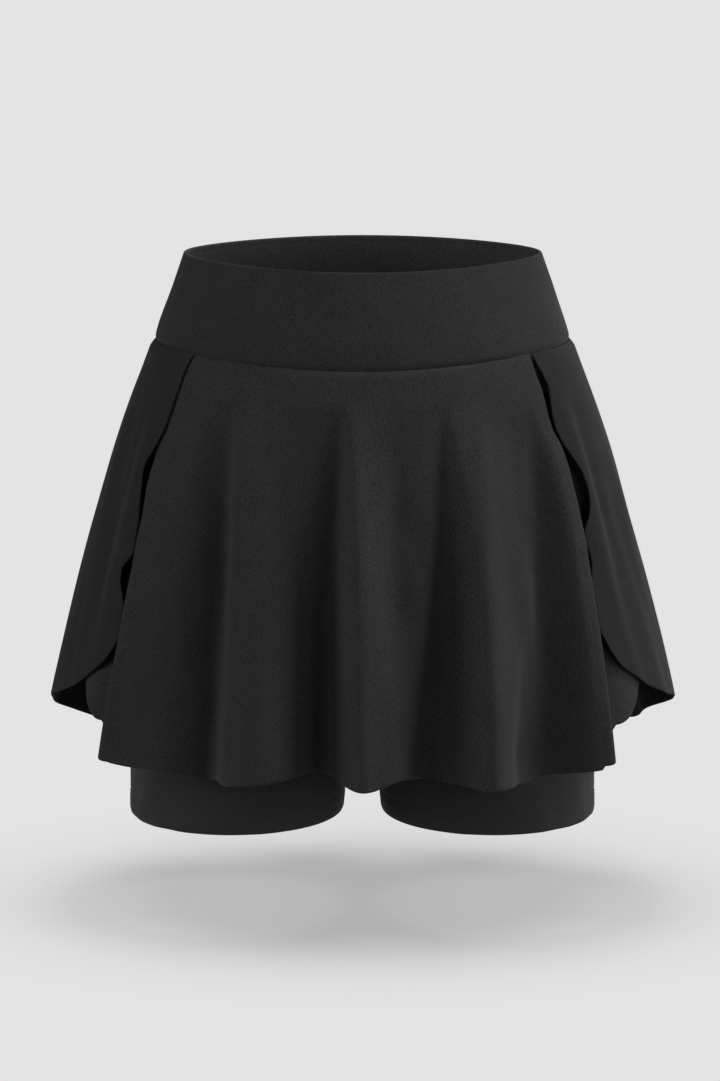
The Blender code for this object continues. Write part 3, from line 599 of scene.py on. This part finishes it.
# Flat between the turned edges: angle = share across * angle of the edge, height = folds + the
# turned edge's own rise near it. Then on each side the turned edge and the strip behind it.
def makeFrontPanel(look, folds):
    row = np.linspace(0.0, 1.0, look["rows"] + 1)[:, None]

    def place(drop, angle, out, top):
        roll = look["shoulderTuck"] * np.exp(-((drop - top) / look["shoulderLength"]) ** 2)
        return ringPoint(garment["skirtRings"], drop, angle, out - look["lapInset"] - roll)

    def turnAt(side, drop, share):
        rise, sink = slitAt(5, side, drop) * 0.001, slitAt(7, side, drop) * 0.001
        full = np.clip(sink / look["turnFullSink"], 0.0, 1.0) ** 0.5
        fold = slitAt(1, side, drop)
        along, out = turnedEdge(look["turnPoints"], share, full, rise, sink)
        return fold + along / metresPerDegree(garment["skirtRings"], drop, fold), out

    def drops(angle, hem):
        top = seamDrop(angle) + garment["seamGap"] / 2
        return top, top + row * (hem - top)

    def sidePart(side, endHeight):
        hem = readTable(look["hem"], 1, side * look["hemEdge"])
        share = np.linspace(0.0, 1.0, look["turnColumns"] + 1)[None, :]
        top, drop = drops(look["topEdge"] + 0 * share, hem - look["stripRise"] * share ** 2)
        angle, out = turnAt(side, drop, share + 0 * row)
        turn = place(drop, side * angle, out + endHeight * (1 - share) ** 3, top)
        lastAngle, lastOut = angle[:, -1:], out[:, -1:]
        share = np.linspace(0.0, 1.0, look["stripColumns"] + 1)[None, 1:]
        hem = hem - look["stripRise"]
        top, drop = drops(look["stripMiddle"] + 0 * share, hem + (look["stripDrop"] - hem) * share ** 2)
        angle = lastAngle + share * (look["stripAngle"] - lastAngle)
        sunk = np.clip((drop - top) / look["stripSinkLength"], 0.0, 1.0) * look["stripSink"]
        strip = place(drop, side * angle, lastOut * (1 - share) ** 3 - sunk * share, top)
        return np.concatenate([turn, strip], axis=1)

    across = np.linspace(-1.0, 1.0, look["flatColumns"] + 1)[None, :]
    angle = look["firstEdge"] * across + 0 * row
    for _ in range(3):
        hem = readTable(look["hem"], 1, angle)
        top, drop = drops(angle, hem)
        rightEnd, rightOut = turnAt(1, drop, 0 * drop)
        leftEnd, leftOut = turnAt(-1, drop, 0 * drop)
        angle = across * np.where(across > 0, rightEnd, leftEnd)
    # the edge's rise spreads over the last fifth of the flat
    edgeOut = np.where(across > 0, rightOut, leftOut) * np.clip(abs(across) * 5 - 4, 0, 1) ** 2
    height = foldHeight(folds, drop, angle)
    height = soften(soften(height, look["softAcross"], 1), look["softDown"], 0)
    ripple = hangingRipple(look, drop, angle) * (1 - across ** 8)
    flat = place(drop, angle, edgeOut + height + ripple, top)
    leftPart, rightPart = sidePart(-1, height[:, :1]), sidePart(1, height[:, -1:])
    outer = np.concatenate([leftPart[:, :0:-1], flat, rightPart[:, 1:]], axis=1)
    return clothWall("skirt_front_panel", outer, look["thickness"], flatPattern(outer), len(outer))


front = makeFrontPanel(frontPanel, frontFolds)
dress(front, ["skirt_knit", "inside_painted_light_knit"], "skirt_knit", "skirt_front")
print("front panel:", len(front.data.polygons), "faces")


backPanel = {
    "thickness": 0.0011,
    "shoulderTuck": 0.0014, "shoulderDrop": 0.0050, "shoulderRoll": 0.0006, "shoulderLength": 0.0022,
    # angle, drop of the hem on the +X side, on the -X side
    "hem": [
        (53.0, 0.2520, 0.2480), (56.6, 0.2745, 0.2710), (64.0, 0.2935, 0.2915), (78.0, 0.3130, 0.3115),
        (90.0, 0.3230, 0.3220), (105.0, 0.3400, 0.3400), (120.0, 0.3590, 0.3590), (135.0, 0.3700, 0.3700),
        (155.0, 0.3780, 0.3780), (180.0, 0.3810, 0.3810),
    ],
    "startAngle": 54.0, "sweep": 252.0, "gather": 0.03, "rowGather": 1.1, "tuckSpread": 12.0,
    "softAcross": 3, "softDown": 2,
    "ripple": 0.00045, "rippleLength": 0.017, "rippleLean": 0.35, "rippleSeed": 8,
    "rippleStart": 0.085, "rippleGrow": 0.08, "patternRadius": 0.19,
    "columns": 290, "rows": 150,
    "cut": (0.830, 0.437), "area": 0.2355,
}

backFolds = {
    "drops": (0.085, 0.120, 0.170, 0.240, 0.310, 0.380),
    "lines": [
        ((53.0, 53.0, 53.0, 53.0, 53.0, 53.0), (0, 0, 0, 0, 0, 0)),
        ((60.5, 60.5, 61.5, 61.0, 60.0, 60.0), (0, 2.2, 2.8, 1.0, 0.5, 0.5)),
        ((65.5, 65.5, 66.5, 67.0, 67.0, 67.0), (0, -0.5, -2.0, -1.2, 0, 0)),
        ((80.0, 80.0, 80.0, 81.0, 82.0, 82.0), (0, 1.0, 1.5, 1.5, 1.5, 1.5)),
        ((95.0, 95.0, 96.0, 97.0, 97.0, 97.0), (0, 0, 1.0, 2.5, 3.0, 3.0)),
        ((108.0, 108.0, 108.0, 109.0, 109.0, 109.0), (0, -1.0, -3.0, -6.0, -8.0, -8.0)),
        ((119.0, 118.0, 118.0, 118.0, 119.0, 119.0), (0, 0.8, 2.0, 4.0, 4.0, 3.0)),
        ((129.0, 129.0, 130.0, 130.0, 130.0, 130.0), (0, 1.0, 4.5, 12.5, 15.0, 16.0)),
        ((140.0, 141.0, 142.0, 142.0, 142.0, 142.0), (0, -2.5, -8.5, -17.0, -21.0, -23.0)),
        ((152.0, 153.0, 153.0, 154.0, 153.0, 153.0), (0, 1.5, 6.0, 14.0, 19.5, 22.0)),
        ((162.0, 163.0, 164.0, 163.0, 163.0, 162.0), (0, 1.0, 4.5, 14.0, 18.0, 20.5)),
        ((172.0, 173.0, 174.0, 174.0, 174.0, 175.0), (0, -4.0, -9.0, -20.0, -24.0, -24.5)),
        ((181.0, 182.0, 183.0, 185.0, 186.0, 187.0), (0, 1.5, 6.0, 15.5, 19.5, 22.0)),
        ((190.0, 190.0, 191.0, 193.0, 195.0, 196.0), (0, 0.5, 1.5, 12.5, 18.0, 20.5)),
        ((197.0, 197.0, 198.0, 200.0, 201.0, 202.0), (0, -1.0, -0.5, -3.0, -4.5, -6.0)),
        ((205.0, 206.0, 207.0, 207.0, 208.0, 208.0), (0, -2.5, -8.5, -17.0, -21.0, -22.0)),
        ((214.0, 215.0, 216.0, 216.0, 217.0, 217.0), (0, 1.0, 4.5, 11.0, 15.0, 17.5)),
        ((228.0, 228.0, 230.0, 230.0, 230.0, 229.0), (0, 1.5, 5.0, 12.5, 16.5, 17.5)),
        ((243.0, 243.0, 243.0, 243.0, 243.0, 243.0), (0, -1.2, -3.5, -7.0, -9.0, -10.0)),
        ((258.0, 258.0, 257.0, 256.0, 256.0, 256.0), (0, 0.5, 1.5, 3.0, 3.0, 3.0)),
        ((278.0, 278.0, 278.0, 278.0, 278.0, 278.0), (0, 1.0, 1.5, 2.0, 1.5, 1.5)),
        ((292.5, 292.5, 292.0, 291.0, 289.0, 288.0), (0, -0.8, -2.4, -2.4, -1.6, -0.8)),
        ((298.5, 298.5, 298.0, 298.0, 298.0, 298.0), (0, 2.4, 3.4, 2.0, 1.0, 0.5)),
        ((307.0, 307.0, 307.0, 307.0, 307.0, 307.0), (0, 0, 0, 0, 0, 0)),
    ],
}


# Angle = start + sweep * share, with its two ends following the slits by (1 - share)^5 and
# share^5. Columns gather towards both ends and rows towards the waist.
def makeBackPanel(look, folds):
    start = look["startAngle"]
    row = np.linspace(0.0, 1.0, look["rows"] + 1)[:, None] ** look["rowGather"]
    share = np.linspace(0.0, 1.0, look["columns"] + 1)[None, :]
    share = share - look["gather"] * np.sin(2 * np.pi * share)
    angle = start + look["sweep"] * share + 0 * row
    for _ in range(4):
        turn = np.minimum(angle, 360.0 - angle)
        hem = np.where(angle < 180.0, readTable(look["hem"], 1, turn), readTable(look["hem"], 2, turn))
        top = seamDrop(angle) + garment["seamGap"] / 2
        drop = top + row * (hem - top)
        rate = metresPerDegree(garment["skirtRings"], drop, start + 0 * drop)
        rightEdge, leftEdge = (
            np.where(slitAt(7, side, drop) < lappedSink * 1000, slitAt(3, side, drop),
                     np.maximum(slitAt(3, side, drop), slitAt(1, side, drop) + slitLeastGap / rate))
            for side in (1, -1))
        angle = (start + look["sweep"] * share + (rightEdge - start) * (1 - share) ** 5
                 - (leftEdge - start) * share ** 5)
    height = foldHeight(folds, drop, angle)
    height = soften(soften(height, look["softAcross"], 1), look["softDown"], 0)
    turn = np.minimum(angle, 360.0 - angle)
    pastSlit = np.clip((turn - frontPanel["stripAngle"]) / look["tuckSpread"], 0.0, 1.0)
    tucked = np.clip(1.0 - (drop - top) / look["shoulderDrop"], 0.0, 1.0)
    roll = look["shoulderRoll"] * np.exp(-((drop - top) / look["shoulderLength"]) ** 2)
    out = height + hangingRipple(look, drop, angle) - look["shoulderTuck"] * tucked * pastSlit - roll
    outer = ringPoint(garment["skirtRings"], drop, angle, out)
    return clothWall("skirt_back_panel", outer, look["thickness"], flatPattern(outer), len(outer))


back = makeBackPanel(backPanel, backFolds)
dress(back, ["back_painted_shade_knit", "inside_painted_light_knit"], "skirt_knit", "skirt_back")
print("back panel:", len(back.data.polygons), "faces")


shortsLeg = {
    "thickness": 0.0011,
    "inset": 0.0016,          # it starts this far inside the waistband's face
    "crotchDrop": 0.2750, "crotchRise": 0.0200, "hemDrop": 0.4070,
    "forkStartDrop": 0.1500, "forkMiddleY": 0.0080,
    # drop, middle x, middle y, half width, half depth
    "rings": [
        (0.2750, 0.0845, 0.0030, 0.0843, 0.1040), (0.3200, 0.0862, 0.0015, 0.0820, 0.0950),
        (0.3650, 0.0885, 0.0005, 0.0790, 0.0885), (0.4070, 0.0907, 0.0000, 0.0768, 0.0855),
    ],
    "hemDepth": 0.0145,       # the hem is turned up this far
    "hemStep": 0.00035,       # the doubled hem stands this much proud
    "needleRows": (0.0118, 0.0148), "needleDepth": 0.00060, "needleWidth": 0.0007,
    "hemSoftness": 0.0006, "foldTuck": 0.0006, "foldLength": 0.0012,
    "ripple": 0.0004, "rippleStart": 0.10, "rippleGrow": 0.05, "rippleLean": 0.5,
    "waves": ((0.08, 0.02, 21), (0.0, 0.03, 4)),      # radius round the leg, shortest wave, random seed
    "patternRadius": 0.083, "rowGather": 1.8,
    "around": 168, "rowsAbove": 60, "rowsBelow": 70,
    "cut": (0.565, 0.345), "area": 0.1650,
}


# Half a ring of the hips blends into a closed tube by b^2 * (3 - 2b); the tube is
# x = middle - half width * cos(turn), y = middle - half depth * sin(turn).
def legSurface(look, below):
    share = np.linspace(0.0, 1.0, look["around"] + 1)[None, :]
    above = np.linspace(0.0, 1.0, look["rowsAbove"] + 1)[:, None]
    inner = abs(2 * share - 1) ** 3
    top = seamDrop(180.0 * share) + garment["seamGap"] / 2
    fork = look["crotchDrop"] - look["crotchRise"] * (1 - inner)
    drop = np.concatenate([top + above * (fork - top), fork + below[1:, None] * (look["hemDrop"] - fork)])
    hip = ringPoint(garment["bodyRings"], drop, 180.0 * share + 0 * drop, -look["inset"])
    turn = 2 * np.pi * share
    middleX, middleY, width, depth = (readTable(look["rings"], k, drop) for k in (1, 2, 3, 4))
    blend = np.clip((drop - look["forkStartDrop"]) / (fork - look["forkStartDrop"]), 0.0, 1.0)
    blend = blend ** 2 * (3 - 2 * blend)
    x = hip[..., 0] + blend * (middleX - width * np.cos(turn) - hip[..., 0])
    y = hip[..., 1] + blend * (middleY - depth * np.sin(turn) + look["forkMiddleY"] * inner - hip[..., 1])
    x = np.maximum(x, garment["seamGap"] / 2)
    return np.stack([x, y, garment["topHeight"] - drop], axis=2), drop, turn


def makeLeg(look):
    # rows gather at the hem, where the stitching is
    below = 1 - (1 - np.linspace(0.0, 1.0, look["rowsBelow"] + 1)) ** look["rowGather"]
    outer, drop, turn = legSurface(look, below)
    ringFrom = look["rowsAbove"]
    normal = gridNormals(outer, ringFrom)
    up = look["hemDrop"] - drop
    proud = look["hemStep"] / (1 + np.exp((up - look["hemDepth"]) / look["hemSoftness"]))
    for needle in look["needleRows"]:
        proud = proud - look["needleDepth"] * np.exp(-((up - needle) / look["needleWidth"]) ** 2)
    # the fold of the hem turns in
    proud = proud - look["foldTuck"] * np.exp(-(up / look["foldLength"]) ** 2)
    wave = sum(slowWaves(radius * turn, drop, shortest, look["rippleLean"], seed)
               for radius, shortest, seed in look["waves"])
    edge = np.clip((drop - look["rippleStart"]) / look["rippleGrow"], 0, 1) * np.sin(turn / 2) ** 2
    proud = proud + look["ripple"] * wave * edge
    inner = outer - look["thickness"] * normal
    outer = outer + normal * proud[..., None]
    for grid in (outer, inner):
        grid[..., 0] = np.maximum(grid[..., 0], garment["seamGap"] / 2)
    pattern = np.stack([(turn + 0 * drop) * look["patternRadius"], -drop + 0 * turn], axis=2)
    flip = np.array((-1.0, 1.0, 1.0))
    right = clothWall("shorts_right_leg", outer, look["thickness"], pattern, ringFrom, inner)
    left = clothWall("shorts_left_leg", outer[:, ::-1] * flip, look["thickness"], pattern[:, ::-1],
                     ringFrom, inner[:, ::-1] * flip)
    return right, left


rightLeg, leftLeg = makeLeg(shortsLeg)
dress(rightLeg, ["shorts_knit", "inside_painted_light_knit"], "shorts_knit", "shorts_right")
dress(leftLeg, ["shorts_knit", "inside_painted_light_knit"], "shorts_knit", "shorts_left")
print("shorts legs:", len(rightLeg.data.polygons), "faces each")


hemThread = {
    "pitch": 0.0026, "filled": 0.74, "radius": 0.00022, "lift": 0.00008, "blunt": 0.7,
    "sides": 6, "rings": 5, "guideRows": 400, "sits": 0.7,
}
insideThread = {
    "pitch": 0.0024, "filled": 0.7, "radius": 0.00018, "lift": 0.00005, "blunt": 0.7,
    "sides": 5, "rings": 4, "guidePoints": 721, "proud": 0.00015,
}


# Rows of thread round a leg at the needles' heights, lying on the cloth.
def makeHemStitches(look, thread):
    below = 1 - (1 - np.linspace(0.0, 1.0, thread["guideRows"] + 1)) ** look["rowGather"]
    points, drop, turn = legSurface(look, below)
    normal = gridNormals(points, look["rowsAbove"])
    rows = {}
    for number, needle in enumerate(look["needleRows"], 1):
        i = int(abs(look["hemDrop"] - drop[:, 0] - needle).argmin())
        above = look["hemStep"] / 2 - look["needleDepth"] + thread["radius"] * thread["sits"]
        rows[number] = (points[i] + normal[i] * above, normal[i])
    made = []
    for side, name in ((1.0, "right"), (-1.0, "left")):
        for number, (line, up) in rows.items():
            flip = np.array((side, 1.0, 1.0))
            made.append(stitchRow(f"hem_stitches_{name}_{number}", line * flip, up * flip, thread))
    return made


hemStitches = makeHemStitches(shortsLeg, hemThread)

insideAngle = np.linspace(-180.0, 180.0, insideThread["guidePoints"])
insideDrop = garment["topDip"] * np.maximum(np.cos(np.radians(insideAngle)), 0.0) ** 2
insideDrop = insideDrop + waistband["insideSeamDrop"]
insideLine = ringPoint(garment["bodyRings"], insideDrop, insideAngle,
                       -waistband["wall"] + insideThread["proud"])
insideUp = insideLine - ringPoint(garment["bodyRings"], insideDrop, insideAngle, 0.0)
insideStitches = stitchRow("waistband_inside_stitches", insideLine, insideUp, insideThread)
for stitches, slotName in [(row, "shorts_knit") for row in hemStitches] + [(insideStitches, "band_knit")]:
    dress(stitches, ["thread"], slotName)
print("stitches:", sum(len(row.data.polygons) for row in hemStitches + [insideStitches]), "faces")

studio = {
    "floorHeight": -0.447, "floorSize": 40.0, "floorShade": 0.80, "floorGlow": 0.427,
    "world": 0.02,
    # azimuth to the right of the front, elevation, strength, softness in degrees, what it lights
    "lights": {
        "highRight": (95.0, 55.0, 1.78, 30.0, "garment"),
        "lowRight": (75.0, 8.0, 1.15, 30.0, "garment"),
        "frontRight": (35.0, 8.0, 0.58, 30.0, "garment"),
        "frontLeft": (-35.0, 30.0, 0.58, 30.0, "garment"),
        "lowLeft": (-75.0, 8.0, 1.10, 30.0, "garment"),
        "behindRight": (150.0, 8.0, 0.55, 30.0, "garment"),
        "overFloor": (0.0, 86.0, 1.30, 60.0, "floor"),
    },
}

half = studio["floorSize"] / 2
corners = [(-half, -half), (half, -half), (half, half), (-half, half)]
floorMesh = bpy.data.meshes.new("floor")
floorMesh.from_pydata([(x, y, studio["floorHeight"]) for x, y in corners], [], [(0, 1, 2, 3)])
floor = bpy.data.objects.new("floor", floorMesh)
scene.collection.objects.link(floor)
floorPaint = bpy.data.materials.new("floor_paint")
floorPaint.use_nodes = True
paint = floorPaint.node_tree.nodes["Principled BSDF"]
paint.inputs["Base Color"].default_value = (studio["floorShade"],) * 3 + (1.0,)
paint.inputs["Roughness"].default_value = 1.0
paint.inputs["Specular IOR Level"].default_value = 0.0
paint.inputs["Emission Color"].default_value = (1.0, 1.0, 1.0, 1.0)
paint.inputs["Emission Strength"].default_value = studio["floorGlow"]
floorMesh.materials.append(floorPaint)
floor.visible_diffuse = False

lit = {"garment": (band, front, back, rightLeg, leftLeg, insideStitches, *hemStitches), "floor": (floor,)}
for name, pieces in lit.items():
    receivers = bpy.data.collections.new("lit_" + name)
    for piece in pieces:
        receivers.objects.link(piece)

for name, (azimuth, elevation, strength, softness, target) in studio["lights"].items():
    sun = bpy.data.lights.new(name, "SUN")
    sun.energy = strength
    sun.angle = math.radians(softness)
    lamp = bpy.data.objects.new(name, sun)
    a, e = math.radians(azimuth), math.radians(elevation)
    towards = Vector((math.sin(a) * math.cos(e), -math.cos(a) * math.cos(e), math.sin(e)))
    lamp.rotation_euler = towards.to_track_quat("Z", "Y").to_euler()
    lamp.location = towards * 3.0
    lamp.light_linking.receiver_collection = bpy.data.collections["lit_" + target]
    scene.collection.objects.link(lamp)

world = bpy.data.worlds.new("studio")
world.use_nodes = True
world.node_tree.nodes["Background"].inputs["Color"].default_value = (1.0, 1.0, 1.0, 1.0)
world.node_tree.nodes["Background"].inputs["Strength"].default_value = studio["world"]
scene.world = world
scene.view_settings.view_transform = "Standard"

print("studio ready")
